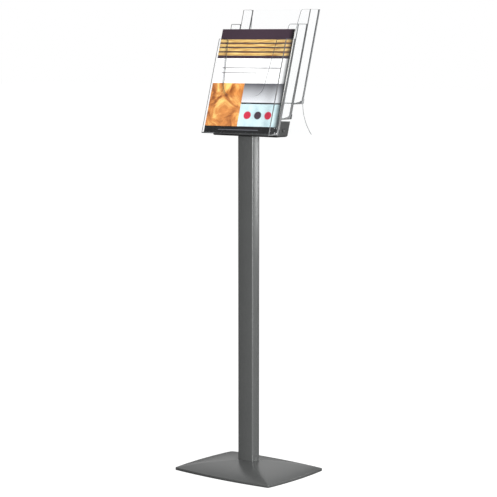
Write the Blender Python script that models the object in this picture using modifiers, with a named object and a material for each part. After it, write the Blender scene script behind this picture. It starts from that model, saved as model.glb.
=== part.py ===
"""Floor-standing three-tier brochure rack.

A bowed and domed base, a rectangular post, a leaning steel bracket and three clear pockets that
step up and back. The pockets and the bracket are drawn upright and then sheared backwards, so
their floors stay level while their walls lean.

Metres, +Z up, front towards -Y, origin on the floor under the middle of the base.
"""
import math

import bmesh
import bpy
from mathutils import Matrix, Vector

# ---------------------------------------------------------------- driving dimensions
GAP = 0.0003                      # clearance between pieces that touch
LEAN = math.radians(16.8)         # backward lean of pockets and bracket
TAN_LEAN = math.tan(LEAN)

BASE_WIDTH = 0.314
BASE_DEPTH = 0.236
BASE_BOW_FRONT = 0.0095           # how far the front and back edges bulge
BASE_BOW_SIDE = 0.0078            # how far the side edges bulge
BASE_CORNER = 0.0025
RIM_LIFT = 0.0012                 # the pad holds the cover clear of the floor
RIM_TOP = 0.0083
RIM_ROUND = 0.0014
BASE_TOP = 0.0303
COVER_WALL = 0.0015
PLATEAU_WIDTH = 0.062             # flat top that the post stands on
PLATEAU_DEPTH = 0.042
PLATEAU_CORNER = 0.006
PLATEAU_EDGE = 0.0003
PLATEAU_ROUND = 0.002
HIP_ROUND = 0.010                 # extra rounding of the four hips halfway up
DOME_SHARE = 0.78                 # the rise is this much dome, steepest at the rim,
DOME_POWER = 2.6
FLARE_POWER = 3.0                 # and for the rest a flare, steepest at the post
DOME_STEPS = 9

PAD_THICK = 0.0020
PAD_INSET = 0.0045
WEIGHT_INSET = 0.0065
WEIGHT_EDGE = 0.0020              # height of the base weight's thin edge
WEIGHT_SHRINK = 0.003             # how far its top stays inside the cover's flat top

POST_WIDTH = 0.050
POST_DEPTH = 0.030
POST_BOW_FRONT = 0.0015           # the post's faces are slightly convex
POST_BOW_SIDE = 0.0009
POST_CORNER = 0.004
POST_WALL = 0.0015
INSERT_HEIGHT = 0.020

BRACKET_BOTTOM = 0.8930
BRACKET_HEIGHT = 0.0396
BRACKET_WIDTH = 0.212
BRACKET_DEPTH = 0.0452
BRACKET_FRONT = -0.0183           # front face at the bracket's bottom
BRACKET_SHEET = 0.0020
BRACKET_ROUND = 0.0040
LID_TAB = 0.0290

TIER_WIDTH = 0.222
TIER_HEIGHT = 0.2456
TIER_BOTTOM = 0.9000              # underside of the front pocket's floor
TIER_FRONT = -0.0597              # front face at that level
TIER_STEP_BACK = 0.0521
TIER_STEP_UP = 0.0382
WALL_FRONT = 0.0026
WALL_SIDE = 0.0023
WALL_FLOOR = 0.0025
EAR_TOP = 0.0310                  # width of the uprights beside the cut-out, at the top
EAR_TAPER = 0.086                 # how much wider they get for each unit of height
CUTOUT_BOTTOM = 0.098
CUTOUT_ROUND = 0.030
EAR_ROUND = 0.0070
TAB_THICK = 0.0018
TAB_DEPTH = 0.0140
TAB_HEIGHT = 0.0125
TAB_ROUND = 0.0055
TAB_ROOT = 0.0005                 # the tab's root lies this far inside the wall it grows from
TAB_OVERLAP = 0.004
FOOT_DROP = 0.0820                # how far the back panel's foot reaches below its pocket
FOOT_FLARE = 0.0390
FOOT_STRAIGHT = 0.16              # share of the flare that grows evenly; the rest grows by the power
FOOT_POWER = 2.3
FOOT_STEPS = 14

PIN_BACK = 0.0078                 # link pins: distance in front of the next wall
PIN_UP = 0.0064                   # and above the pocket's underside
PIN_RADIUS = 0.0015
PIN_HEAD = [(-0.0016, 0.0019), (-0.0011, 0.0028), (0, 0.0030)]
PIN_HOLE = 0.0018

BROCHURE_WIDTH = 0.2159
BROCHURE_HEIGHT = 0.2794
BROCHURE_PAGES = 0.0018
BROCHURE_COVER = 0.0004
BROCHURE_CLEAR = 0.0021           # from the front wall to the middle of the brochure's near edge
BROCHURE_SPARE = 0.0048           # depth of the pocket that the slanting brochure leaves free
BROCHURE_SWAY = 0.055             # how far it bows either side of a straight slant

BOLT_X = 0.0155                   # the two bolts at each end of the post
BOLT_HEAD_HEIGHT = 0.0060
SOCKET_SHARE = 0.72               # a socket's width as a share of the shank's
FOOT_BOLT_RADIUS = 0.0040
FOOT_BOLT_HEAD = 0.0065
FOOT_BOLT_LENGTH = 0.0370
FOOT_BOLT_HOLE = 0.0045
FOOT_WASHER_RADIUS = 0.0080
FOOT_WASHER_THICK = 0.0016
COUNTERBORE = 0.0085
COUNTERBORE_TOP = 0.0115
POST_BOLT_RADIUS = 0.0030
POST_BOLT_HEAD = 0.0050
POST_BOLT_LENGTH = 0.0180
POST_BOLT_HOLE = 0.0036
POST_WASHER_RADIUS = 0.0065
POST_WASHER_THICK = 0.0012

LID_SCREW_UP = 0.0165
LID_SCREW = [(-0.0022, 0.0026), (-0.0016, 0.0036), (0, 0.0038), (0, 0.0018), (0.0080, 0.0018)]
LID_SCREW_SOCKET = [(-0.0030, 0.0013), (-0.0009, 0.0013)]
LID_SCREW_HOLE = 0.0021

HOLDER_SCREW_X = 0.062
HOLDER_SCREW_RADIUS = 0.0020
HOLDER_SCREW_HEAD = [(-0.0024, 0.0026), (-0.0018, 0.0038), (0, 0.0040)]
HOLDER_SCREW_SOCKET = [(-0.0030, 0.0014), (-0.0010, 0.0014)]
HOLDER_SCREW_END = 0.0055         # reach below the lid
HOLDER_SCREW_HOLE = 0.0023
HOLDER_SPACER_RADIUS = 0.0070
HOLDER_NUT_RADIUS = 0.0040
HOLDER_NUT_THICK = 0.0032

ROUND_STEPS = 24                  # sides on bolts, pins and holes

TIER_PITCH_FLAT = TIER_STEP_BACK - TIER_STEP_UP * TAN_LEAN   # level distance between front walls
BROCHURE_TURN = math.asin((TIER_PITCH_FLAT - WALL_FRONT - BROCHURE_SPARE) / BROCHURE_WIDTH)


# ---------------------------------------------------------------- scene and materials
def clear_scene():
    for obj in list(bpy.data.objects):
        bpy.data.objects.remove(obj, do_unlink=True)


def collection(name):
    made = bpy.data.collections.new(name)
    bpy.context.scene.collection.children.link(made)
    return made


def material(name, colour, roughness, metallic, transmission=0.0):
    made = bpy.data.materials.new(name)
    made.use_nodes = True
    shader = made.node_tree.nodes["Principled BSDF"]
    shader.inputs["Base Color"].default_value = (*colour, 1.0)
    shader.inputs["Roughness"].default_value = roughness
    shader.inputs["Metallic"].default_value = metallic
    shader.inputs["Transmission Weight"].default_value = transmission
    return made


# ---------------------------------------------------------------- outlines
def arc(centre, radius, start, end, steps):
    """Points on an arc, from the start angle to the end angle in degrees."""
    points = []
    for i in range(steps + 1):
        angle = math.radians(start + (end - start) * i / steps)
        points.append((centre[0] + radius * math.cos(angle), centre[1] + radius * math.sin(angle)))
    return points


def circle(x, y, radius, steps=ROUND_STEPS):
    return arc((x, y), radius, 0, 360 * (steps - 1) / steps, steps - 1)


def rounded_rectangle(width, depth, radius, steps=4, centre=(0, 0)):
    points = []
    for quarter, (sx, sy) in enumerate(((1, 1), (-1, 1), (-1, -1), (1, -1))):
        corner = (centre[0] + sx * (width / 2 - radius), centre[1] + sy * (depth / 2 - radius))
        points += arc(corner, radius, 90 * quarter, 90 * quarter + 90, steps)
    return points


def bowed_rectangle(width, depth, bow_front, bow_side, radius, side_steps=10, corner_steps=4):
    """Rectangle whose four edges bulge outwards, with small rounded corners, anticlockwise."""
    corners = [Vector((sx * width / 2, sy * depth / 2)) for sx, sy in ((1, -1), (1, 1), (-1, 1), (-1, -1))]
    outward = [Vector((1, 0)), Vector((0, 1)), Vector((-1, 0)), Vector((0, -1))]
    sides = []
    for i in range(4):
        start, end = corners[i], corners[(i + 1) % 4]
        bow = bow_side if i % 2 == 0 else bow_front
        trim = radius / (end - start).length
        side = []
        for j in range(side_steps + 1):
            t = trim + (1 - 2 * trim) * j / side_steps
            side.append(start.lerp(end, t) + outward[i] * bow * 4 * t * (1 - t))
        sides.append(side)
    points = []
    for i in range(4):
        points += sides[i]
        before, corner, after = sides[i][-1], corners[(i + 1) % 4], sides[(i + 1) % 4][0]
        for j in range(1, corner_steps):
            t = j / corner_steps
            points.append(before * (1 - t) ** 2 + corner * 2 * t * (1 - t) + after * t ** 2)
    return [(p.x, p.y) for p in points]


# ---------------------------------------------------------------- solids
def add_object(name, mesh, place, mat=None):
    obj = bpy.data.objects.new(name, mesh)
    place.objects.link(obj)
    if mat is not None:
        mesh.materials.clear()
        mesh.materials.append(mat)
    return obj


def extruded(loops, low, high, axis="Z"):
    """Mesh of a flat outline with holes, extruded along one axis from low to high.

    The outline's two numbers are X and Y for axis Z, X and Z for axis Y, and Y and Z for axis X.
    """
    curve = bpy.data.curves.new("outline", "CURVE")
    curve.dimensions = "2D"
    curve.fill_mode = "BOTH"
    curve.extrude = (high - low) / 2
    for loop in loops:
        spline = curve.splines.new("POLY")
        spline.points.add(len(loop) - 1)
        for point, (x, y) in zip(spline.points, loop):
            point.co = (x, y, 0, 1)
        spline.use_cyclic_u = True
    guide = bpy.data.objects.new("outline", curve)
    bpy.context.scene.collection.objects.link(guide)
    depsgraph = bpy.context.evaluated_depsgraph_get()
    mesh = bpy.data.meshes.new_from_object(guide.evaluated_get(depsgraph))
    bpy.data.objects.remove(guide)
    bpy.data.curves.remove(curve)
    work = bmesh.new()
    work.from_mesh(mesh)
    bmesh.ops.remove_doubles(work, verts=work.verts, dist=0.000001)
    middle = (low + high) / 2
    if axis == "Z":
        turn = Matrix.Translation((0, 0, middle))
    elif axis == "Y":
        turn = Matrix.Translation((0, middle, 0)) @ Matrix.Rotation(math.radians(90), 4, "X")
    else:
        turn = Matrix(((0, 0, 1, middle), (1, 0, 0, 0), (0, 1, 0, 0), (0, 0, 0, 1)))
    bmesh.ops.transform(work, matrix=turn, verts=work.verts)
    bmesh.ops.recalc_face_normals(work, faces=work.faces)
    work.to_mesh(mesh)
    work.free()
    return mesh


def box(low, high):
    """Mesh of a box between two corners."""
    mesh = bpy.data.meshes.new("box")
    work = bmesh.new()
    size = Vector(high) - Vector(low)
    middle = (Vector(high) + Vector(low)) / 2
    matrix = Matrix.Translation(middle) @ Matrix.Diagonal((*size, 1))
    bmesh.ops.create_cube(work, size=1, matrix=matrix)
    work.to_mesh(mesh)
    work.free()
    return mesh


def rod(sections, origin, direction, steps=ROUND_STEPS):
    """Turned solid: (distance, radius) pairs along a direction from an origin, ends closed."""
    mesh = bpy.data.meshes.new("rod")
    work = bmesh.new()
    rings = []
    for distance, radius in sections:
        ring = [work.verts.new((x, y, distance)) for x, y in circle(0, 0, radius, steps)]
        rings.append(ring)
    for lower, upper in zip(rings, rings[1:]):
        for i in range(steps):
            j = (i + 1) % steps
            work.faces.new((lower[i], lower[j], upper[j], upper[i]))
    work.faces.new(list(reversed(rings[0])))
    work.faces.new(rings[-1])
    turn = Vector(direction).to_track_quat("Z", "Y").to_matrix().to_4x4()
    bmesh.ops.transform(work, matrix=Matrix.Translation(origin) @ turn, verts=work.verts)
    bmesh.ops.recalc_face_normals(work, faces=work.faces)
    work.to_mesh(mesh)
    work.free()
    return mesh


def loft(rings, close_start, close_end):
    """Mesh through rings that hold the same number of 3-D points."""
    mesh = bpy.data.meshes.new("loft")
    work = bmesh.new()
    made = [[work.verts.new(point) for point in ring] for ring in rings]
    count = len(rings[0])
    for lower, upper in zip(made, made[1:]):
        for i in range(count):
            j = (i + 1) % count
            work.faces.new((lower[i], lower[j], upper[j], upper[i]))
    if close_start:
        work.faces.new(list(reversed(made[0])))
    if close_end:
        work.faces.new(made[-1])
    bmesh.ops.recalc_face_normals(work, faces=work.faces)
    work.to_mesh(mesh)
    work.free()
    return mesh


def lean(mesh, foot=(0, 0)):
    """Shears an upright mesh backwards about the level line at foot, given as Y and Z."""
    shear = Matrix.Identity(4)
    shear[1][2] = TAN_LEAN
    shear[1][3] = -TAN_LEAN * foot[1]
    mesh.transform(Matrix.Translation((0, foot[0], 0)) @ shear)
    return mesh


def smooth(obj, degrees=35):
    obj.data.shade_smooth()
    obj.data.set_sharp_from_angle(angle=math.radians(degrees))


def boolean(obj, tool, kind="DIFFERENCE"):
    """Adds an exact Boolean modifier; the tool is a closed mesh in the cutters' collection."""
    cutter = add_object("cutter_" + obj.name, tool, cutters)
    cutter.hide_render = True
    cutter.display_type = "WIRE"
    modifier = obj.modifiers.new(kind.lower(), "BOOLEAN")
    modifier.operation = kind
    modifier.solver = "EXACT"
    modifier.object = cutter


def origin_to(obj, point):
    """Moves an object's origin without moving its shape."""
    obj.data.transform(Matrix.Translation(-Vector(point)))
    obj.location = point


# ---------------------------------------------------------------- base
def base_ring(inset, height):
    outline = bowed_rectangle(
        BASE_WIDTH - 2 * inset, BASE_DEPTH - 2 * inset, BASE_BOW_FRONT, BASE_BOW_SIDE, BASE_CORNER
    )
    return [(x, y, height) for x, y in outline]


def dome_ring(share):
    """Ring of the cover's skin: share is 0 at the rim's inner edge and 1 at the flat top."""
    low = 1 - share
    convex = DOME_SHARE * (1 - low ** DOME_POWER)
    flare = (1 - DOME_SHARE) * share ** FLARE_POWER
    outline = bowed_rectangle(
        (BASE_WIDTH - 2 * RIM_ROUND) * low + PLATEAU_WIDTH * share,
        (BASE_DEPTH - 2 * RIM_ROUND) * low + PLATEAU_DEPTH * share,
        BASE_BOW_FRONT * low,
        BASE_BOW_SIDE * low,
        BASE_CORNER * low + PLATEAU_CORNER * share + HIP_ROUND * 4 * low * share,
    )
    height = RIM_TOP + (BASE_TOP - PLATEAU_EDGE - RIM_TOP) * (convex + flare)
    return [(x, y, height) for x, y in outline]


def plateau_ring(shrink, height):
    outline = bowed_rectangle(
        PLATEAU_WIDTH - 2 * shrink, PLATEAU_DEPTH - 2 * shrink, 0, 0, PLATEAU_CORNER - shrink
    )
    return [(x, y, height) for x, y in outline]


def make_base():
    rings = [
        base_ring(0, RIM_LIFT),
        base_ring(0, RIM_TOP - RIM_ROUND),
        base_ring(RIM_ROUND * 0.3, RIM_TOP - RIM_ROUND * 0.3),
    ]
    rings += [dome_ring(i / DOME_STEPS) for i in range(DOME_STEPS + 1)]
    rings.append(plateau_ring(PLATEAU_ROUND, BASE_TOP))
    cover = add_object("base_cover", loft(rings, False, True), parts, charcoal)
    shell = cover.modifiers.new("sheet", "SOLIDIFY")
    shell.thickness = COVER_WALL
    shell.offset = -1
    through = [(COUNTERBORE_TOP, FOOT_BOLT_HOLE), (BASE_TOP + 0.01, FOOT_BOLT_HOLE)]
    for side in (-1, 1):
        boolean(cover, rod(through, (side * BOLT_X, 0, 0), (0, 0, 1)))
    smooth(cover, 25)

    pad_outline = bowed_rectangle(
        BASE_WIDTH - 2 * PAD_INSET, BASE_DEPTH - 2 * PAD_INSET, BASE_BOW_FRONT, BASE_BOW_SIDE, BASE_CORNER
    )
    holes = [circle(side * BOLT_X, 0, COUNTERBORE) for side in (-1, 1)]
    add_object("floor_pad", extruded([pad_outline] + holes, 0, PAD_THICK), parts, rubber)

    weight_bottom = PAD_THICK + GAP
    weight_top = BASE_TOP - COVER_WALL - GAP
    rings = [
        base_ring(WEIGHT_INSET, weight_bottom),
        base_ring(WEIGHT_INSET, weight_bottom + WEIGHT_EDGE),
        plateau_ring(WEIGHT_SHRINK, weight_top),
    ]
    weight = add_object("base_weight", loft(rings, True, True), parts, iron)
    stepped = [(-0.01, COUNTERBORE), (COUNTERBORE_TOP, COUNTERBORE)] + through
    for side in (-1, 1):
        boolean(weight, rod(stepped, (side * BOLT_X, 0, 0), (0, 0, 1)))


# ---------------------------------------------------------------- post
def cap_screw(name, x, under_head, length, radius, head_radius, up):
    """Socket-head screw whose shank runs up or down from the underside of its head."""
    sections = [(-BOLT_HEAD_HEIGHT, head_radius), (0, head_radius), (0, radius), (length, radius)]
    screw = add_object(name, rod(sections, (x, 0, under_head), (0, 0, up)), parts, steel)
    socket = [
        (-BOLT_HEAD_HEIGHT - 0.001, radius * SOCKET_SHARE), (-BOLT_HEAD_HEIGHT * 0.4, radius * SOCKET_SHARE)
    ]
    boolean(screw, rod(socket, (x, 0, under_head), (0, 0, up), steps=6))
    smooth(screw)


def washer(name, x, y, bottom, hole, radius, thick, mat):
    ring = [circle(x, y, radius), circle(x, y, hole)]
    made = add_object(name, extruded(ring, bottom, bottom + thick), parts, mat)
    smooth(made)


def post_outline(inset, corner):
    return bowed_rectangle(
        POST_WIDTH - 2 * inset, POST_DEPTH - 2 * inset, POST_BOW_FRONT, POST_BOW_SIDE, corner, 8, 5
    )


def make_post():
    bottom = BASE_TOP + GAP
    top = BRACKET_BOTTOM - GAP
    inner_corner = POST_CORNER - POST_WALL
    tube = [post_outline(0, POST_CORNER), post_outline(POST_WALL, inner_corner)]
    post = add_object("post", extruded(tube, bottom, top), parts, charcoal)
    smooth(post, 25)

    plug = post_outline(POST_WALL + GAP, inner_corner)
    foot_holes = [circle(side * BOLT_X, 0, FOOT_BOLT_RADIUS + GAP) for side in (-1, 1)]
    foot = extruded([plug] + foot_holes, bottom + GAP, bottom + GAP + INSERT_HEIGHT)
    add_object("post_foot_insert", foot, parts, steel)
    top_holes = [circle(side * BOLT_X, 0, POST_BOLT_RADIUS + GAP) for side in (-1, 1)]
    head = extruded([plug] + top_holes, top - GAP - INSERT_HEIGHT, top - GAP)
    add_object("post_top_insert", head, parts, steel)

    foot_washer = COUNTERBORE_TOP - FOOT_WASHER_THICK - GAP
    post_washer = BRACKET_BOTTOM + BRACKET_SHEET + GAP
    for number, side in ((1, -1), (2, 1)):
        x = side * BOLT_X
        washer(
            f"foot_washer_{number}", x, 0, foot_washer, FOOT_BOLT_RADIUS + GAP, FOOT_WASHER_RADIUS,
            FOOT_WASHER_THICK, steel,
        )
        cap_screw(
            f"foot_bolt_{number}", x, foot_washer - GAP,
            FOOT_BOLT_LENGTH, FOOT_BOLT_RADIUS, FOOT_BOLT_HEAD, 1
        )
        washer(
            f"post_washer_{number}", x, 0, post_washer, POST_BOLT_RADIUS + GAP, POST_WASHER_RADIUS,
            POST_WASHER_THICK, steel,
        )
        under_head = post_washer + POST_WASHER_THICK + GAP
        cap_screw(
            f"post_bolt_{number}", x, under_head, POST_BOLT_LENGTH, POST_BOLT_RADIUS, POST_BOLT_HEAD, -1
        )


# ---------------------------------------------------------------- bracket
def make_bracket():
    half = BRACKET_WIDTH / 2
    back = BRACKET_FRONT + BRACKET_DEPTH
    top = BRACKET_BOTTOM + BRACKET_HEIGHT
    foot = (0, BRACKET_BOTTOM)

    mesh = box((-half, BRACKET_FRONT, BRACKET_BOTTOM), (half, back, top))
    work = bmesh.new()
    work.from_mesh(mesh)
    low_edges = [e for e in work.edges if all(v.co.z < BRACKET_BOTTOM + 0.001 for v in e.verts)]
    bmesh.ops.bevel(work, geom=low_edges, offset=BRACKET_ROUND, segments=4, affect="EDGES", profile=0.5)
    work.to_mesh(mesh)
    work.free()
    body = add_object("bracket_body", lean(mesh, foot), parts, charcoal)
    sheet = BRACKET_SHEET
    hollow = box(
        (-half + sheet, BRACKET_FRONT + sheet, BRACKET_BOTTOM + sheet),
        (half - sheet, back - sheet, top + 0.01)
    )
    boolean(body, lean(hollow, foot))
    bolt_hole = [(-0.01, POST_BOLT_HOLE), (0.01, POST_BOLT_HOLE)]
    for side in (-1, 1):
        boolean(body, rod(bolt_hole, (side * BOLT_X, 0, BRACKET_BOTTOM), (0, 0, 1)))

    tab_bottom = top - LID_TAB
    inset = sheet + GAP
    mesh = box((-half + inset, BRACKET_FRONT + inset, tab_bottom), (half - inset, back - inset, top))
    lid = add_object("bracket_lid", lean(mesh, foot), parts, charcoal)
    inset += sheet
    under = box(
        (-half + inset, BRACKET_FRONT - 0.01, tab_bottom - 0.01),
        (half - inset, back + 0.01, top - sheet)
    )
    boolean(lid, lean(under, foot))

    screw_z = BRACKET_BOTTOM + LID_SCREW_UP
    screw_y = (BRACKET_FRONT + back) / 2 + (screw_z - BRACKET_BOTTOM) * TAN_LEAN
    for name, side in (("lid_screw_left", -1), ("lid_screw_right", 1)):
        inward = (-side, 0, 0)
        start = (side * (half + GAP), screw_y, screw_z)
        screw = add_object(name, rod(LID_SCREW, start, inward), parts, steel)
        boolean(screw, rod(LID_SCREW_SOCKET, start, inward, steps=6))
        smooth(screw)
        hole = [(-0.002, LID_SCREW_HOLE), (0.012, LID_SCREW_HOLE)]
        boolean(body, rod(hole, start, inward))
        boolean(lid, rod(hole, start, inward))
    return body, lid


# ---------------------------------------------------------------- clear pockets
def tier_foot(number):
    """Front face (Y) and underside (Z) of a pocket, numbered from 0 at the front."""
    return TIER_FRONT + number * TIER_STEP_BACK, TIER_BOTTOM + number * TIER_STEP_UP


def cutout(bottom):
    """U-shaped outline, in X and Z, that opens the middle of a front wall."""
    top = bottom + TIER_HEIGHT
    half_top = TIER_WIDTH / 2 - EAR_TOP
    half_low = half_top - EAR_TAPER * (TIER_HEIGHT - CUTOUT_BOTTOM)
    low = bottom + CUTOUT_BOTTOM
    right = arc((half_low - CUTOUT_ROUND, low + CUTOUT_ROUND), CUTOUT_ROUND, -90, -6, 7)
    shoulder = arc((half_top + EAR_ROUND, top - EAR_ROUND), EAR_ROUND, 180, 100, 4)
    right += shoulder + [(half_top + EAR_ROUND, top + 0.002)]
    left = [(-x, z) for x, z in reversed(right)]
    return right + left


def link_tab(side, bottom):
    """Small round-ended ear that wraps forwards round the pocket in front, for its link pin."""
    inner = TIER_WIDTH / 2 + GAP
    outer = inner + TAB_THICK
    root = inner - TAB_OVERLAP
    front, rear = TAB_ROOT, WALL_FRONT - TAB_ROOT
    plan = [
        (side * root, front), (side * inner, front), (side * inner, -TAB_DEPTH), (side * outer, -TAB_DEPTH),
        (side * outer, rear), (side * root, rear),
    ]
    mesh = extruded([plan], bottom + TAB_ROOT, bottom + TAB_HEIGHT)
    work = bmesh.new()
    work.from_mesh(mesh)
    front_edges = [
        edge for edge in work.edges
        if all(v.co.y < -TAB_DEPTH * 0.99 for v in edge.verts)
        and abs(edge.verts[0].co.x - edge.verts[1].co.x) > TAB_THICK / 2
    ]
    bmesh.ops.bevel(work, geom=front_edges, offset=TAB_ROUND, segments=5, affect="EDGES", profile=0.5)
    work.to_mesh(mesh)
    work.free()
    return mesh


def pin_hole(number):
    """Cutter for both link pins that join pocket number to the wall behind it."""
    y, z = pin_place(number)
    return rod([(-0.13, PIN_HOLE), (0.13, PIN_HOLE)], (0, y, z), (1, 0, 0))


def pin_place(number):
    """Y and Z of the link pins that join pocket number to the wall behind it."""
    y, z = tier_foot(number)
    return y + TIER_PITCH_FLAT - PIN_BACK + PIN_UP * TAN_LEAN, z + PIN_UP


def make_tier(number):
    y, z = tier_foot(number)
    half = TIER_WIDTH / 2
    depth = TIER_PITCH_FLAT - GAP
    side_profile = [(0, z), (depth, z), (depth, z + TIER_HEIGHT), (0, z + TIER_HEIGHT)]
    skirt_bottom = z - TIER_STEP_UP
    if number > 0:
        side_profile = [(0, skirt_bottom), (WALL_FRONT, skirt_bottom), (WALL_FRONT, z)] + side_profile[1:]
    foot = (y, z)
    tier = add_object(
        f"tier_{number + 1}", lean(extruded([side_profile], -half, half, "X"), foot), parts, clear[number]
    )
    inside = box(
        (-half + WALL_SIDE, WALL_FRONT, z + WALL_FLOOR),
        (half - WALL_SIDE, depth + 0.01, z + TIER_HEIGHT + 0.01)
    )
    boolean(tier, lean(inside, foot))
    boolean(tier, lean(extruded([cutout(z)], -0.006, 0.010, "Y"), foot))
    if number > 0:
        for side in (-1, 1):
            boolean(tier, lean(link_tab(side, skirt_bottom), foot), "UNION")
        boolean(tier, pin_hole(number - 1))
    boolean(tier, pin_hole(number))
    return tier


def make_back_panel():
    """Wall behind the last pocket, with a foot that curves out below it."""
    y, z = tier_foot(2)
    y += TIER_PITCH_FLAT
    half = TIER_WIDTH / 2
    front = []
    for i in range(FOOT_STEPS + 1):
        t = i / FOOT_STEPS
        flare = FOOT_FLARE * (FOOT_STRAIGHT * t + (1 - FOOT_STRAIGHT) * t ** FOOT_POWER)
        front.append(Vector((y + flare, z - t * FOOT_DROP)))
    front.reverse()
    front.append(Vector((y + TIER_HEIGHT * TAN_LEAN, z + TIER_HEIGHT)))
    rear = []
    for i, point in enumerate(front):
        before, after = front[max(i - 1, 0)], front[min(i + 1, len(front) - 1)]
        tangent = (after - before).normalized()
        rear.append(point + Vector((tangent.y, -tangent.x)) * WALL_FRONT * math.cos(LEAN))
    rear[-1] = front[-1] + Vector((WALL_FRONT, 0))
    outline = [tuple(p) for p in front] + [tuple(p) for p in reversed(rear)]
    panel = add_object("back_panel", extruded([outline], -half, half, "X"), parts, clear[3])
    for side in (-1, 1):
        boolean(panel, lean(link_tab(side, z), (y, z)), "UNION")
    boolean(panel, pin_hole(2))


def make_link_pins():
    outer = TIER_WIDTH / 2 + GAP + TAB_THICK + GAP
    shank_end = TAB_THICK + GAP + WALL_SIDE
    for number in range(3):
        y, z = pin_place(number)
        for name, side in (("left", -1), ("right", 1)):
            sections = PIN_HEAD + [(0, PIN_RADIUS), (shank_end, PIN_RADIUS)]
            mesh = rod(sections, (side * outer, y, z), (-side, 0, 0), 16)
            pin = add_object(f"link_pin_{number + 1}_{name}", mesh, parts, clear[3])
            smooth(pin)


# ---------------------------------------------------------------- holder fixings
def make_holder_fixings(tier, lid):
    """Screws through the middle pocket's floor into the bracket's lid, on spacers."""
    front, floor_bottom = tier_foot(1)
    lid_top = BRACKET_BOTTOM + BRACKET_HEIGHT
    floor_top = floor_bottom + WALL_FLOOR
    y = front + TIER_PITCH_FLAT / 2
    for number, side in ((1, -1), (2, 1)):
        x = side * HOLDER_SCREW_X
        spacer_height = floor_bottom - lid_top - 2 * GAP
        washer(
            f"holder_spacer_{number}", x, y, lid_top + GAP, HOLDER_SCREW_HOLE, HOLDER_SPACER_RADIUS,
            spacer_height, nylon,
        )
        length = floor_top - lid_top + BRACKET_SHEET + HOLDER_SCREW_END
        sections = HOLDER_SCREW_HEAD + [(0, HOLDER_SCREW_RADIUS), (length, HOLDER_SCREW_RADIUS)]
        start = (x, y, floor_top + GAP)
        screw = add_object(f"holder_screw_{number}", rod(sections, start, (0, 0, -1)), parts, steel)
        boolean(screw, rod(HOLDER_SCREW_SOCKET, start, (0, 0, -1), steps=6))
        smooth(screw)
        nut_top = lid_top - BRACKET_SHEET - GAP
        nut_outline = [circle(x, y, HOLDER_NUT_RADIUS, 6), circle(x, y, HOLDER_SCREW_HOLE)]
        nut = extruded(nut_outline, nut_top - HOLDER_NUT_THICK, nut_top)
        add_object(f"holder_nut_{number}", nut, parts, steel)
        hole = rod([(-0.003, HOLDER_SCREW_HOLE), (0.02, HOLDER_SCREW_HOLE)], start, (0, 0, -1))
        boolean(tier, hole)
        boolean(lid, hole.copy())


# ---------------------------------------------------------------- brochure
def brochure_line(t):
    """Plan position of the brochure's middle surface, from its left edge (0) to its right (1)."""
    front, _ = tier_foot(0)
    reach = BROCHURE_WIDTH * math.cos(BROCHURE_TURN)
    near = front + WALL_FRONT + BROCHURE_CLEAR
    swing = BROCHURE_WIDTH * math.sin(BROCHURE_TURN)
    ease = t - BROCHURE_SWAY * math.sin(2 * math.pi * t)
    return Vector((reach * (t - 0.5), near + swing * ease))


def brochure_side(offset, start, end, steps=24):
    """Plan points along one face of the brochure, offset towards the back."""
    points = []
    for i in range(steps + 1):
        t = start + (end - start) * i / steps
        step = 0.01
        run = brochure_line(t + step) - brochure_line(t - step)
        normal = Vector((-run.y, run.x)).normalized()
        points.append(tuple(brochure_line(t) + normal * offset))
    return points


def make_brochure():
    front, bottom = tier_foot(0)
    low = bottom + WALL_FLOOR + GAP
    high = low + BROCHURE_HEIGHT * math.cos(LEAN)
    foot = (0, bottom)
    axis_point = (0, brochure_line(0.5).y, low)
    inner = BROCHURE_PAGES / 2
    outer = inner + GAP + BROCHURE_COVER
    spine = (BROCHURE_COVER + GAP) / BROCHURE_WIDTH

    pages = brochure_side(-inner, spine, 1) + brochure_side(inner, 1, spine)
    block = add_object("brochure_pages", lean(extruded([pages], low + GAP, high - GAP), foot), parts, paper)
    fold = brochure_side(-outer, 0, 1) + brochure_side(-inner - GAP, 1, spine / 2)
    fold += brochure_side(inner + GAP, spine / 2, 1) + brochure_side(outer, 1, 0)
    cover = add_object("brochure_cover", lean(extruded([fold], low, high), foot), parts, card)
    for obj in (block, cover):
        origin_to(obj, axis_point)


clear_scene()
parts = collection("brochure_rack")
cutters = collection("cutters")

charcoal = material("charcoal_powder_coat", (0.115, 0.118, 0.122), 0.42, 0.35)
iron = material("cast_iron", (0.06, 0.06, 0.062), 0.75, 0.6)
steel = material("zinc_steel", (0.55, 0.56, 0.57), 0.32, 1.0)
rubber = material("black_rubber", (0.02, 0.02, 0.02), 0.8, 0.0)
nylon = material("nylon", (0.85, 0.85, 0.83), 0.45, 0.0)
paper = material("page_paper", (0.88, 0.87, 0.84), 0.8, 0.0)
card = material("cover_card", (0.35, 0.2, 0.09), 0.35, 0.0)
clear = [
    material(name, (0.93, 0.95, 0.96), 0.05, 0.0, 0.9)
    for name in ("clear_front_tier", "clear_middle_tier", "clear_rear_tier", "clear_back")
]

make_base()
make_post()
body_obj, lid_obj = make_bracket()
tiers = [make_tier(number) for number in range(3)]
make_back_panel()
make_link_pins()
make_holder_fixings(tiers[1], lid_obj)
make_brochure()
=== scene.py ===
"""Looks of the floor-standing three-tier brochure rack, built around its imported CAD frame."""
import math

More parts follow.
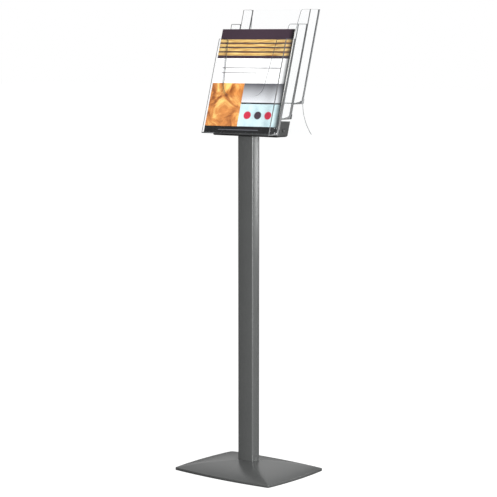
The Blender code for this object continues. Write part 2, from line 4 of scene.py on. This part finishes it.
import bmesh
import bpy
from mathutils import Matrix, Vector


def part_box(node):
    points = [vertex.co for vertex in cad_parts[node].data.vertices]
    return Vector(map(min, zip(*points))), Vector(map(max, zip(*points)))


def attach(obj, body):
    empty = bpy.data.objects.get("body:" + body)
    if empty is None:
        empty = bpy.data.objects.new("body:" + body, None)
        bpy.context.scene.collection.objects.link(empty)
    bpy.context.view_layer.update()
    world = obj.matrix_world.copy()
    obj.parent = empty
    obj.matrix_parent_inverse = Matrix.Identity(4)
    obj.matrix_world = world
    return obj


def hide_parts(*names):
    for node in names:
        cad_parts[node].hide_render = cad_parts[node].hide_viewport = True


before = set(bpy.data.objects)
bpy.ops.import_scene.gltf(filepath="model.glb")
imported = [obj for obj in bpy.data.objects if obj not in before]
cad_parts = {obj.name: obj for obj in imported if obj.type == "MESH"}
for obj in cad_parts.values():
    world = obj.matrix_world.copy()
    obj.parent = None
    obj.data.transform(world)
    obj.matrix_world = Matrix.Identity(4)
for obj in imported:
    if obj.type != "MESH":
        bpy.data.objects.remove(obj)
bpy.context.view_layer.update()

STAND = "stand"
BROCHURE = "brochure"

# ---------------------------------------------------------------- measures the frame doesn't give
LEAN = math.radians(16.8)
TAN_LEAN = math.tan(LEAN)
WALL_FRONT = 0.0026
WALL_SIDE = 0.0023
WALL_FLOOR = 0.0025
TOP_LIPS = (0.0006, 0.0013, 0.0004)     # height of the dark lip along each pocket's top
CORNER_STRIP = 0.0014                   # width of the dark strip along the pockets' side edges
EDGE_NARROW = 0.0034                    # faces narrower than this are edges of the sheet
CUT_OUT_FROM = 0.005                    # edges this far inside the side walls are cut-out edges
LUG_AHEAD = 0.0006                      # faces this far ahead of the front wall belong to lugs
PANEL_LEVEL = 0.6                       # the back panel's faces that point up or down more are left clear
MERGE_DISTANCE = 0.00001
FLAT_ANGLE = 0.6                        # degrees between triangles that merge into one face
BEVEL_ANGLE = math.radians(50)
MOULDED_BEVEL = 0.00025
SHEET_BEVELS = {"bracket_body": 0.0012, "bracket_lid": 0.0004}
TIER_STEP_BACK = 0.0521
TIER_STEP_UP = 0.0382

BASE_WIDTH = 0.314
BASE_DEPTH = 0.236
BASE_CORNER = 0.0025
RIM_ROUND = 0.0014
RIM_HEIGHT = 0.0071
COVER_WALL = 0.0015
PLATEAU_WIDTH = 0.062
PLATEAU_DEPTH = 0.042
PLATEAU_CORNER = 0.006
PLATEAU_EDGE = 0.0003
HIP_ROUND = 0.010
DOME_SHARE = 0.78
DOME_POWER = 2.6
FLARE_POWER = 3.0
DOME_STEPS = 40

POST_WIDTH = 0.050
POST_DEPTH = 0.030
POST_CORNER = 0.004
POST_WALL = 0.0015

CAMERA_AZIMUTH = math.radians(38.32)
CAMERA_ELEVATION = math.radians(6.77)
CAMERA_DISTANCE = 4.66
CAMERA_TARGET = (0.0, 0.0, 0.5973)
CAMERA_SIDEWAYS = -0.0006
CAMERA_LENS = 128.3

# Each lamp: name, place, point it faces, width, height, watts.
LAMPS = (
    ("key", (3.5, -2.25, 1.5), (0, 0, 0.6), 1.2, 2.0, 330),
    ("top", (0.3, -0.3, 4.0), (0, 0, 0), 2.2, 2.2, 15),
    ("backdrop", (-3.1, 2.6, 2.1), (0, 0, 2.1), 4.0, 3.4, 28),
    ("back_right", (1.5, 1.9, 0.65), (0, 0, 0.85), 0.4, 0.3, 6),
)
ROOM_LOW = 0.10
ROOM_HIGH = 0.30
STEEL_TONES = ((0.50, 0.51, 0.52), (0.66, 0.67, 0.67))
COAT_SWING = 0.008                      # how far the coat's roughness strays either side
COAT_TONES = ((0.083, 0.086, 0.085), (0.122, 0.125, 0.124))


# ---------------------------------------------------------------- camera, light and floor
def make_camera():
    turn, rise = CAMERA_AZIMUTH, CAMERA_ELEVATION
    back = Vector((math.sin(turn) * math.cos(rise), -math.cos(turn) * math.cos(rise), math.sin(rise)))
    right = Vector((math.cos(turn), math.sin(turn), 0))
    data = bpy.data.cameras.new("camera")
    data.lens = CAMERA_LENS
    data.sensor_width = 36.0
    camera = bpy.data.objects.new("camera", data)
    camera.location = Vector(CAMERA_TARGET) + right * CAMERA_SIDEWAYS + back * CAMERA_DISTANCE
    camera.rotation_euler = back.to_track_quat("Z", "Y").to_euler()
    bpy.context.scene.collection.objects.link(camera)
    bpy.context.scene.camera = camera


def area_light(name, place, aim, width, height, power):
    data = bpy.data.lights.new(name, "AREA")
    data.shape = "RECTANGLE"
    data.size = width
    data.size_y = height
    data.energy = power
    light = bpy.data.objects.new(name, data)
    light.location = place
    light.rotation_euler = (Vector(place) - Vector(aim)).to_track_quat("Z", "Y").to_euler()
    light.visible_camera = False
    bpy.context.scene.collection.objects.link(light)


def make_studio():
    """Dim room with a broad key lamp at the right and three weak ones; the camera sees it as white."""
    world = bpy.data.worlds.new("studio")
    bpy.context.scene.world = world
    world.use_nodes = True
    graph = Graph(world.node_tree)
    height = graph.split(graph.add("ShaderNodeTexCoord").outputs["Generated"])[2]
    room = graph.remap(height, -0.2, 0.9, ROOM_LOW, ROOM_HIGH)
    background = world.node_tree.nodes["Background"]
    background.inputs["Color"].default_value = (1, 1, 1, 1)
    graph.link(graph.mix_value(graph.seen_directly(), room, 1.0), background.inputs["Strength"])

    for name, place, aim, width, height, power in LAMPS:
        area_light(name, place, aim, width, height, power)

    bpy.ops.mesh.primitive_plane_add(size=60, location=(0, 0, 0))
    floor = bpy.context.object
    floor.name = "floor"
    material, graph, shader = principled("pale_floor", (0.5, 0.5, 0.5), 0.8)
    grain = graph.noise(graph.place(), 18.0, 3.0, 0.5)
    tones = graph.ramp(grain, [(0.3, (0.18, 0.18, 0.18)), (0.7, (0.20, 0.20, 0.20))])
    graph.link(tones, shader.inputs["Base Color"])
    shader.inputs["Emission Color"].default_value = (1, 1, 1, 1)
    graph.link(graph.mix_value(graph.seen_directly(), 0.0, 0.95), shader.inputs["Emission Strength"])
    floor.data.materials.append(material)


# ---------------------------------------------------------------- node graphs
class Graph:
    """Short names for adding and linking shader nodes in one tree."""

    def __init__(self, tree):
        self.tree = tree

    def add(self, kind):
        return self.tree.nodes.new(kind)

    def link(self, source, target):
        if isinstance(source, bpy.types.NodeSocket):
            self.tree.links.new(source, target)
        elif target.type == "RGBA":
            target.default_value = (*source[:3], 1)
        else:
            target.default_value = source

    def math(self, operation, a, b=0.0, clamp=False):
        node = self.add("ShaderNodeMath")
        node.operation = operation
        node.use_clamp = clamp
        self.link(a, node.inputs[0])
        self.link(b, node.inputs[1])
        return node.outputs[0]

    def remap(self, value, low, high, to_low=0.0, to_high=1.0):
        node = self.add("ShaderNodeMapRange")
        self.link(value, node.inputs["Value"])
        ends = {"From Min": low, "From Max": high, "To Min": to_low, "To Max": to_high}
        for name, number in ends.items():
            self.link(number, node.inputs[name])
        return node.outputs["Result"]

    def mix(self, share, a, b):
        node = self.add("ShaderNodeMix")
        node.data_type = "RGBA"
        self.link(share, node.inputs[0])
        self.link(a, node.inputs[6])
        self.link(b, node.inputs[7])
        return node.outputs[2]

    def mix_value(self, share, a, b):
        node = self.add("ShaderNodeMix")
        self.link(share, node.inputs[0])
        self.link(a, node.inputs[2])
        self.link(b, node.inputs[3])
        return node.outputs[0]

    def split(self, vector):
        node = self.add("ShaderNodeSeparateXYZ")
        self.link(vector, node.inputs[0])
        return node.outputs

    def place(self):
        return self.add("ShaderNodeTexCoord").outputs["Object"]

    def seen_directly(self):
        return self.add("ShaderNodeLightPath").outputs["Is Camera Ray"]

    def stretch(self, vector, scale, turn=0.0):
        """Vector turned by an angle in degrees about Z and scaled along each axis."""
        node = self.add("ShaderNodeMapping")
        self.link(vector, node.inputs["Vector"])
        node.inputs["Rotation"].default_value = (0, 0, math.radians(turn))
        node.inputs["Scale"].default_value = scale
        return node.outputs[0]

    def noise(self, vector, scale, detail=2.0, roughness=0.5, distortion=0.0):
        node = self.add("ShaderNodeTexNoise")
        self.link(vector, node.inputs["Vector"])
        node.inputs["Scale"].default_value = scale
        node.inputs["Detail"].default_value = detail
        node.inputs["Roughness"].default_value = roughness
        node.inputs["Distortion"].default_value = distortion
        return node.outputs["Fac"]

    def ramp(self, value, stops):
        node = self.add("ShaderNodeValToRGB")
        elements = node.color_ramp.elements
        while len(elements) < len(stops):
            elements.new(0.5)
        for element, (position, colour) in zip(elements, stops):
            element.position = position
            element.color = (*colour, 1)
        self.link(value, node.inputs[0])
        return node.outputs[0]

    def bump(self, height, strength, distance, shader):
        node = self.add("ShaderNodeBump")
        node.inputs["Strength"].default_value = strength
        node.inputs["Distance"].default_value = distance
        self.link(height, node.inputs["Height"])
        self.link(node.outputs[0], shader.inputs["Normal"])


def principled(name, colour, roughness, metallic=0.0):
    material = bpy.data.materials.new(name)
    material.use_nodes = True
    shader = material.node_tree.nodes["Principled BSDF"]
    shader.inputs["Base Color"].default_value = (*colour, 1)
    shader.inputs["Roughness"].default_value = roughness
    shader.inputs["Metallic"].default_value = metallic
    return material, Graph(material.node_tree), shader


# ---------------------------------------------------------------- materials
def powder_coat(name, strength, roughness):
    """Satin charcoal coat: strength scales its brightness, and below 1 it gives a darker copy that paints
    in shade; roughness is the middle of its range.
    """
    material, graph, shader = principled(name, (0.10, 0.10, 0.102), roughness, 0.25)
    place = graph.place()
    broad = graph.noise(place, 9.0, 3.0, 0.55)
    flake = graph.noise(place, 2600.0, 1.0, 0.5)
    tone = graph.math("ADD", graph.math("MULTIPLY", broad, 0.25), graph.math("MULTIPLY", flake, 0.75))
    dark, light = (tuple(part * strength for part in colour) for colour in COAT_TONES)
    graph.link(graph.ramp(tone, [(0.30, dark), (0.70, light)]), shader.inputs["Base Color"])
    gloss = graph.remap(broad, 0.3, 0.7, roughness - COAT_SWING, roughness + COAT_SWING)
    graph.link(gloss, shader.inputs["Roughness"])
    peel = graph.noise(place, 700.0, 2.0, 0.5)
    graph.bump(peel, 0.05, 0.0003, shader)
    return material


def zinc_steel(name, strength):
    """Brushed steel with a zinc finish, strength scaling how bright it is."""
    material, graph, shader = principled(name, (0.6, 0.61, 0.62), 0.3, 1.0)
    place = graph.place()
    grain = graph.noise(graph.stretch(place, (1, 1, 12)), 900.0, 2.0, 0.6)
    dark, light = (tuple(part * strength for part in colour) for colour in STEEL_TONES)
    graph.link(graph.ramp(grain, [(0.3, dark), (0.7, light)]), shader.inputs["Base Color"])
    graph.link(graph.remap(grain, 0.3, 0.7, 0.24, 0.40), shader.inputs["Roughness"])
    return material


def cast_iron():
    material, graph, shader = principled("cast_iron", (0.06, 0.06, 0.062), 0.75, 0.4)
    place = graph.place()
    grain = graph.noise(place, 350.0, 5.0, 0.65)
    tones = graph.ramp(grain, [(0.3, (0.04, 0.04, 0.042)), (0.7, (0.085, 0.083, 0.08))])
    graph.link(tones, shader.inputs["Base Color"])
    graph.bump(grain, 0.5, 0.0006, shader)
    return material


def black_rubber():
    material, graph, shader = principled("black_rubber", (0.02, 0.02, 0.02), 0.85)
    place = graph.place()
    grain = graph.noise(place, 800.0, 3.0, 0.6)
    tones = graph.ramp(grain, [(0.3, (0.014, 0.014, 0.014)), (0.7, (0.032, 0.032, 0.033))])
    graph.link(tones, shader.inputs["Base Color"])
    graph.bump(grain, 0.4, 0.0004, shader)
    return material


def nylon():
    material, graph, shader = principled("nylon", (0.85, 0.85, 0.83), 0.45)
    grain = graph.noise(graph.place(), 400.0, 3.0, 0.5)
    tones = graph.ramp(grain, [(0.3, (0.80, 0.80, 0.78)), (0.7, (0.88, 0.88, 0.86))])
    graph.link(tones, shader.inputs["Base Color"])
    shader.inputs["Subsurface Weight"].default_value = 0.15
    shader.inputs["Subsurface Scale"].default_value = 0.003
    return material


def see_through(name, tint, share, gloss, colour, roughness):
    """Thin clear plastic: what is behind it shows through, under a film that mirrors the room."""
    material, graph, shader = principled(name, colour, roughness)
    output = material.node_tree.nodes["Material Output"]
    clear = graph.add("ShaderNodeBsdfTransparent")
    clear.inputs["Color"].default_value = (*tint, 1)
    facing = graph.add("ShaderNodeLayerWeight").outputs["Facing"]
    mirror = graph.math("MULTIPLY", graph.math("POWER", facing, 5.0), gloss)
    film = graph.noise(graph.place(), 14.0, 3.0, 0.5)
    haze = graph.remap(film, 0.3, 0.7, share * 0.85, share * 1.15)
    weight = graph.math("ADD", haze, mirror, clamp=True)
    mixed = graph.add("ShaderNodeMixShader")
    graph.link(weight, mixed.inputs[0])
    graph.link(clear.outputs[0], mixed.inputs[1])
    graph.link(shader.outputs[0], mixed.inputs[2])
    graph.link(mixed.outputs[0], output.inputs["Surface"])
    return material


def clear_plastic():
    return see_through("clear_plastic", (0.995, 0.997, 0.998), 0.008, 0.35, (0.9, 0.92, 0.93), 0.06)


def clear_edge(name, share, grey):
    """Cut or moulded edge of the clear sheet, which reads as a grey line."""
    return see_through(name, (0.35, 0.37, 0.38), share, 0.05, (grey, grey * 1.02, grey * 1.04), 0.3)


def page_paper():
    material, graph, shader = principled("page_paper", (0.86, 0.85, 0.82), 0.8)
    place = graph.place()
    leaves = graph.noise(graph.stretch(place, (1, 30, 1)), 260.0, 2.0, 0.6)
    tones = graph.ramp(leaves, [(0.35, (0.62, 0.61, 0.58)), (0.6, (0.90, 0.89, 0.86))])
    graph.link(tones, shader.inputs["Base Color"])
    graph.bump(leaves, 0.3, 0.0002, shader)
    return material


# ---------------------------------------------------------------- printed cover
class Print(Graph):
    """A picture painted in flat shapes over the cover, in units of its width (u) and height (v)."""

    def __init__(self, tree, layer):
        super().__init__(tree)
        uv = self.add("ShaderNodeUVMap")
        uv.uv_map = layer
        self.vector = uv.outputs[0]
        axes = self.split(self.vector)
        self.u, self.v = axes[0], axes[1]
        self.colour = (1, 1, 1)

    def step(self, value, edge, soft):
        return self.remap(value, edge - soft, edge + soft)

    def both(self, *masks):
        result = masks[0]
        for mask in masks[1:]:
            result = self.math("MULTIPLY", result, mask)
        return result

    def span(self, value, low, high, soft=0.002):
        below_high = self.math("SUBTRACT", 1.0, self.step(value, high, soft))
        return self.both(self.step(value, low, soft), below_high)

    def box(self, left, right, low, high, soft=0.002):
        return self.both(self.span(self.u, left, right, soft), self.span(self.v, low, high, soft))

    def disc(self, u, v, radius, soft=0.004):
        """Mask of a disc that stays round on the card."""
        across = self.math("SUBTRACT", self.u, u)
        along = self.math("MULTIPLY", self.math("SUBTRACT", self.v, v), PAGE_SHAPE)
        distance = self.math("SQRT", self.math(
            "ADD", self.math("MULTIPLY", across, across), self.math("MULTIPLY", along, along)
        ))
        return self.math("SUBTRACT", 1.0, self.step(distance, radius, soft))

    def paint(self, mask, colour):
        self.colour = self.mix(mask, self.colour, colour)


def ink(red, green, blue):
    """Printed colour that shows as the given 0-255 tones under the studio lamps."""
    tones = (part / 255 for part in (red, green, blue))
    return tuple(((tone + 0.055) / 1.055) ** 2.4 / PRINT_LIGHT for tone in tones)


PAGE_SHAPE = 0.2794 / 0.2159
PRINT_LIGHT = 1.15
BAND_LOW = 0.717
PICTURE_TOP = 0.476
PICTURE_RIGHT = 0.449
PANEL_TOP = 0.278
FOOT_TOP = 0.063
WHITE = (0.93, 0.93, 0.93)
BLACK = ink(20, 20, 22)
PLUM = ink(66, 52, 62)
CRIMSON = ink(200, 45, 70)
GREY = ink(118, 116, 120)


def paint_band(p):
    """Dark band with four plain, evenly spaced gold stripes."""
    p.colour = PLUM
    sheen = p.noise(p.stretch(p.vector, (2, 40, 1)), 3.0, 2.0, 0.5)
    gold = p.ramp(sheen, [(0.35, ink(186, 134, 70)), (0.65, ink(246, 214, 138))])
    for i in range(4):
        low = 0.744 + i * 0.042
        p.paint(p.box(-1, 2, low, low + 0.028, 0.004), gold)


def paint_middle(p):
    """White band with two plain grey rules."""
    for low, right in ((0.620, 0.90), (0.572, 0.58)):
        p.paint(p.box(0.10, right, low, low + 0.008), GREY)


def paint_amber(p):
    """Block of marbled amber, lower left."""
    drift = p.noise(p.stretch(p.vector, (1, PAGE_SHAPE, 1), 35), 5.0, 3.0, 0.55, 1.0)
    stops = [(0.36, ink(150, 84, 42)), (0.50, ink(224, 146, 76)), (0.64, ink(255, 216, 128))]
    p.colour = p.ramp(drift, stops)


def paint_grey(p):
    """Plain grey block that darkens smoothly towards the top."""
    p.colour = p.mix(p.remap(p.v, 0.300, PICTURE_TOP), ink(226, 228, 232), ink(84, 84, 90))
    p.paint(p.box(-1, 2, -1, 0.292), BLACK)


def paint_dots(p):
    """Pale blue block with a row of three equal discs."""
    wash = p.noise(p.vector, 7.0, 2.0, 0.5)
    p.colour = p.ramp(wash, [(0.35, ink(186, 214, 220)), (0.65, ink(216, 238, 242))])
    for u, colour in ((0.560, CRIMSON), (0.700, PLUM), (0.840, CRIMSON)):
        p.paint(p.disc(u, 0.170, 0.048), colour)


def paint_foot(p):
    """Black bar with one plain rule."""
    p.colour = BLACK
    p.paint(p.box(0.20, 0.74, 0.026, 0.032), ink(104, 104, 110))


def printed_card(name):
    """Coated card material and the Print to paint its picture with."""
    material, _, shader = principled(name, WHITE, 0.32)
    shader.inputs["Specular IOR Level"].default_value = 0.3
    p = Print(material.node_tree, "cover")
    p.colour = WHITE
    grain = p.noise(p.stretch(p.vector, (1, PAGE_SHAPE, 1)), 420.0, 2.0, 0.5)
    p.link(p.remap(grain, 0.3, 0.7, 0.28, 0.40), shader.inputs["Roughness"])
    p.bump(grain, 0.03, 0.0001, shader)
    return material, p, shader


def cover_region(name, painter):
    """Material for one region of the front cover, with painted shade darkening it towards the right edge
    of the card.
    """
    material, p, shader = printed_card(name)
    painter(p)
    # painted shade: a dark ramp over the card's right edge, where it turns away from the light
    p.paint(p.remap(p.u, 0.925, 0.985, 0.0, 0.94), ink(14, 16, 18))
    p.link(p.colour, shader.inputs["Base Color"])
    return material


def back_print():
    material, p, shader = printed_card("cover_back")
    p.paint(p.box(-1, 2, 0.90, 2), PLUM)
    p.paint(p.box(-1, 2, 0.885, 0.900), ink(232, 184, 92))
    p.paint(p.box(-1, 2, -1, 0.066), BLACK)
    p.paint(p.box(0.18, 0.82, 0.46, 0.47), ink(176, 176, 178))
    p.link(p.colour, shader.inputs["Base Color"])
    return material


# ---------------------------------------------------------------- mesh helpers
def bowed_rectangle(width, depth, bow_front, bow_side, radius, side_steps=40, corner_steps=10):
    """Rectangle whose four edges bulge outwards, with small rounded corners, anticlockwise."""
    corners = [Vector((sx * width / 2, sy * depth / 2)) for sx, sy in ((1, -1), (1, 1), (-1, 1), (-1, -1))]
    outward = [Vector((1, 0)), Vector((0, 1)), Vector((-1, 0)), Vector((0, -1))]
    sides = []
    for i in range(4):
        start, end = corners[i], corners[(i + 1) % 4]
        bow = bow_side if i % 2 == 0 else bow_front
        trim = radius / (end - start).length
        side = []
        for j in range(side_steps + 1):
            t = trim + (1 - 2 * trim) * j / side_steps
            side.append(start.lerp(end, t) + outward[i] * bow * 4 * t * (1 - t))
        sides.append(side)
    points = []
    for i in range(4):
        points += sides[i]
        before, corner, after = sides[i][-1], corners[(i + 1) % 4], sides[(i + 1) % 4][0]
        for j in range(1, corner_steps):
            t = j / corner_steps
            points.append(before * (1 - t) ** 2 + corner * 2 * t * (1 - t) + after * t ** 2)
    return [(p.x, p.y) for p in points]


def add_piece(name, mesh, body, replaces, materials, sharp=30):
    obj = bpy.data.objects.new(name, mesh)
    bpy.context.scene.collection.objects.link(obj)
    for material in materials:
        mesh.materials.append(material)
    mesh.shade_smooth()
    mesh.set_sharp_from_angle(angle=math.radians(sharp))
    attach(obj, body)
    if replaces:
        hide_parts(*replaces)
    return obj


def ring_mesh(name, rings, close_start, close_end, closed_loop=False):
    """Skin through rings of the same number of points; closed_loop joins the last to the first."""
    mesh = bpy.data.meshes.new(name)
    work = bmesh.new()
    made = [[work.verts.new(point) for point in ring] for ring in rings]
    pairs = list(zip(made, made[1:]))
    if closed_loop:
        pairs.append((made[-1], made[0]))
    count = len(rings[0])
    for lower, upper in pairs:
        for i in range(count):
            j = (i + 1) % count
            work.faces.new((lower[i], lower[j], upper[j], upper[i]))
    if close_start:
        work.faces.new(list(reversed(made[0])))
    if close_end:
        work.faces.new(made[-1])
    bmesh.ops.recalc_face_normals(work, faces=work.faces)
    work.to_mesh(mesh)
    work.free()
    return mesh


# ---------------------------------------------------------------- base and post
def make_base_cover(coat):
    low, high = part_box("base_cover")
    bow_side = high.x - BASE_WIDTH / 2
    bow_front = high.y - BASE_DEPTH / 2
    rim_top = low.z + RIM_HEIGHT

    def outer(inset, z):
        outline = bowed_rectangle(
            BASE_WIDTH - 2 * inset, BASE_DEPTH - 2 * inset, bow_front, bow_side, BASE_CORNER
        )
        return [(x, y, z) for x, y in outline]

    def dome(share):
        rest = 1 - share
        convex = DOME_SHARE * (1 - rest ** DOME_POWER)
        flare = (1 - DOME_SHARE) * share ** FLARE_POWER
        outline = bowed_rectangle(
            (BASE_WIDTH - 2 * RIM_ROUND) * rest + PLATEAU_WIDTH * share,
            (BASE_DEPTH - 2 * RIM_ROUND) * rest + PLATEAU_DEPTH * share,
            bow_front * rest,
            bow_side * rest,
            BASE_CORNER * rest + PLATEAU_CORNER * share + HIP_ROUND * 4 * rest * share,
        )
        z = rim_top + (high.z - PLATEAU_EDGE - rim_top) * (convex + flare)
        return [(x, y, z) for x, y in outline]

    rings = [outer(0, low.z)]
    for i in range(6):
        angle = math.radians(60 * i / 5)
        rings.append(outer(RIM_ROUND * (1 - math.cos(angle)), rim_top - RIM_ROUND * (1 - math.sin(angle))))
    rings += [dome(i / DOME_STEPS) for i in range(DOME_STEPS + 1)]
    top = bowed_rectangle(PLATEAU_WIDTH - 0.004, PLATEAU_DEPTH - 0.004, 0, 0, PLATEAU_CORNER - 0.002)
    rings.append([(x, y, high.z) for x, y in top])
    mesh = ring_mesh("base_cover_skin", rings, False, True)
    cover = add_piece("base_cover_skin", mesh, STAND, ["base_cover"], [coat], 40)
    shell = cover.modifiers.new("sheet", "SOLIDIFY")
    shell.thickness = COVER_WALL
    shell.offset = -1


def make_post(coat):
    low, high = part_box("post")
    bow_front = (high.y - low.y - POST_DEPTH) / 2
    bow_side = (high.x - low.x - POST_WIDTH) / 2

    def outline(inset, corner, z):
        size = (POST_WIDTH - 2 * inset, POST_DEPTH - 2 * inset)
        return [(x, y, z) for x, y in bowed_rectangle(*size, bow_front, bow_side, corner, 24, 12)]

    inner = POST_CORNER - POST_WALL
    rings = [
        outline(0, POST_CORNER, low.z), outline(0, POST_CORNER, high.z),
        outline(POST_WALL, inner, high.z), outline(POST_WALL, inner, low.z),
    ]
    mesh = ring_mesh("post_tube", rings, False, False, True)
    add_piece("post_tube", mesh, STAND, ["post"], [coat], 40)


# ---------------------------------------------------------------- pieces refined from CAD solids
def clean_copy(node):
    """bmesh of a CAD node, its triangles merged back into flat faces."""
    work = bmesh.new()
    work.from_mesh(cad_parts[node].data)
    bmesh.ops.remove_doubles(work, verts=work.verts, dist=MERGE_DISTANCE)
    bmesh.ops.dissolve_limit(
        work, angle_limit=math.radians(FLAT_ANGLE), verts=work.verts, edges=work.edges,
        use_dissolve_boundaries=False,
    )
    return work


def make_bracket(coat):
    for node, width in SHEET_BEVELS.items():
        work = clean_copy(node)
        mesh = bpy.data.meshes.new(node + "_sheet")
        work.to_mesh(mesh)
        work.free()
        piece = add_piece(node + "_sheet", mesh, STAND, [node], [coat], 30)
        bevel = piece.modifiers.new("edges", "BEVEL")
        bevel.width = width
        bevel.segments = 3
        bevel.limit_method = "ANGLE"
        bevel.angle_limit = BEVEL_ANGLE


def split_walls(work, front, bottom, lip):
    """Cuts the outer faces where walls and floor meet them, and a lip strip round the top and rear."""
    half = max(v.co.x for v in work.verts if v.co.z > bottom + 0.1)
    top = max(v.co.z for v in work.verts)
    rear = max(v.co.y for v in work.verts)
    lean_normal = Vector((0, math.cos(LEAN), -math.sin(LEAN)))
    planes = [((side * (half - CORNER_STRIP), 0, 0), (1, 0, 0)) for side in (-1, 1)]
    planes.append(((0, front + WALL_FRONT, bottom), lean_normal))
    planes.append(((0, rear - WALL_SIDE, top), lean_normal))
    planes.append(((0, 0, bottom + WALL_FLOOR), (0, 0, 1)))
    planes.append(((0, 0, top - lip), (0, 0, 1)))
    for point, normal in planes:
        cut_through(work, point, normal)


def mark_edges(work, front, bottom, level=2.0):
    """Gives an edge material to faces narrower than a wall, seen along the sheet.

    Lugs ahead of the front wall stay clear, cut-out edges are fainter, and faces that point up or
    down past level are left alone.
    """
    half = max(v.co.x for v in work.verts)
    for face in work.faces:
        centre = face.calc_center_median()
        around = sum(edge.calc_length() for edge in face.edges)
        thin = 2 * face.calc_area() / around < EDGE_NARROW
        lug = centre.y < front + (centre.z - bottom) * TAN_LEAN - LUG_AHEAD
        if thin and not lug and abs(face.normal.z) < level:
            face.material_index = 2 if abs(centre.x) < half - CUT_OUT_FROM else 1


def add_moulding(node, work, *plastics):
    mesh = bpy.data.meshes.new(node + "_moulding")
    work.to_mesh(mesh)
    work.free()
    piece = add_piece(node + "_moulding", mesh, STAND, [node], plastics, 30)
    bevel = piece.modifiers.new("edges", "BEVEL")
    bevel.width = MOULDED_BEVEL
    bevel.segments = 2
    bevel.limit_method = "ANGLE"
    bevel.angle_limit = BEVEL_ANGLE
    bevel.material = 1


def make_holder():
    body_plastic = clear_plastic()
    near_edge = clear_edge("clear_plastic_near_edge", 0.92, 0.10)
    far_edge = clear_edge("clear_plastic_edge", 0.88, 0.08)
    faint_edge = clear_edge("clear_plastic_faint_edge", 0.50, 0.10)
    low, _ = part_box("tier_1")
    feet = [(low.y + number * TIER_STEP_BACK, low.z + number * TIER_STEP_UP) for number in range(4)]
    for number in range(3):
        work = clean_copy(f"tier_{number + 1}")
        split_walls(work, *feet[number], TOP_LIPS[number])
        mark_edges(work, *feet[number])
        corner = near_edge if number == 0 else far_edge
        add_moulding(f"tier_{number + 1}", work, body_plastic, corner, faint_edge)
    work = clean_copy("back_panel")
    mark_edges(work, *feet[3], PANEL_LEVEL)
    add_moulding("back_panel", work, body_plastic, faint_edge, faint_edge)
    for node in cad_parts:
        if node.startswith("link_pin"):
            set_material(node, body_plastic)


def set_material(node, material):
    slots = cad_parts[node].data.materials
    slots.clear()
    slots.append(material)


# ---------------------------------------------------------------- brochure
def make_brochure():
    """Brochure cover cut along the borders of its colour blocks, each with its own plain print."""
    low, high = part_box("brochure_cover")
    size = high - low
    work = bmesh.new()
    work.from_mesh(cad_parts["brochure_cover"].data)
    for border in (FOOT_TOP, PANEL_TOP, PICTURE_TOP, BAND_LOW):
        cut_through(work, (0, 0, low.z + border * size.z), (0, 0, 1))
    cut_through(work, (low.x + PICTURE_RIGHT * size.x, 0, 0), (1, 0, 0))
    mesh = bpy.data.meshes.new("brochure_print")
    work.to_mesh(mesh)
    work.free()
    layer = mesh.uv_layers.new(name="cover")
    mesh.uv_layers.active = layer
    for loop in mesh.loops:
        place = mesh.vertices[loop.vertex_index].co
        layer.data[loop.index].uv = ((place.x - low.x) / size.x, (place.z - low.z) / size.z)
    painters = (paint_band, paint_middle, paint_amber, paint_grey, paint_dots, paint_foot)
    prints = [cover_region("cover_" + painter.__name__.split("_")[1], painter) for painter in painters]
    inks = prints + [back_print()]
    add_piece("brochure_print", mesh, BROCHURE, ["brochure_cover"], inks, 30)
    for polygon in mesh.polygons:
        u = (polygon.center.x - low.x) / size.x
        v = (polygon.center.z - low.z) / size.z
        polygon.material_index = region_of(u, v) if polygon.normal.y < 0.2 else len(prints)


def cut_through(work, point, normal):
    geometry = work.verts[:] + work.edges[:] + work.faces[:]
    bmesh.ops.bisect_plane(work, geom=geometry, dist=MERGE_DISTANCE, plane_co=point, plane_no=normal)


def region_of(u, v):
    """Number of the painter whose picture covers this place of the front cover."""
    if v > BAND_LOW:
        return 0
    if v > PICTURE_TOP:
        return 1
    if v < FOOT_TOP:
        return 5
    if u < PICTURE_RIGHT:
        return 2
    return 3 if v > PANEL_TOP else 4


make_camera()
make_studio()
coat = powder_coat("charcoal_powder_coat", 1.0, 0.29)
make_base_cover(coat)
make_post(coat)
# painted shade: the bracket's coat is the charcoal coat at about a quarter of its brightness, standing for
# the shade under the holder
make_bracket(powder_coat("bracket_shaded_powder_coat", 0.27, 0.45))
make_holder()
make_brochure()
steel = zinc_steel("zinc_steel", 1.0)
black_steel = zinc_steel("black_zinc_steel", 0.22)
plain = {
    "floor_pad": black_rubber(), "base_weight": cast_iron(), "brochure_pages": page_paper(),
    "post_foot_insert": steel, "post_top_insert": steel,
}
spacer = nylon()
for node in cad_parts:
    if node.startswith("holder_spacer"):
        plain[node] = spacer
    elif "_screw" in node or "_bolt" in node or "_washer" in node or "_nut" in node:
        plain[node] = black_steel if node.startswith(("bracket", "lid", "holder")) else steel
for node, material in plain.items():
    set_material(node, material)

view = bpy.context.scene.view_settings
view.view_transform = "Standard"
view.look = "None"
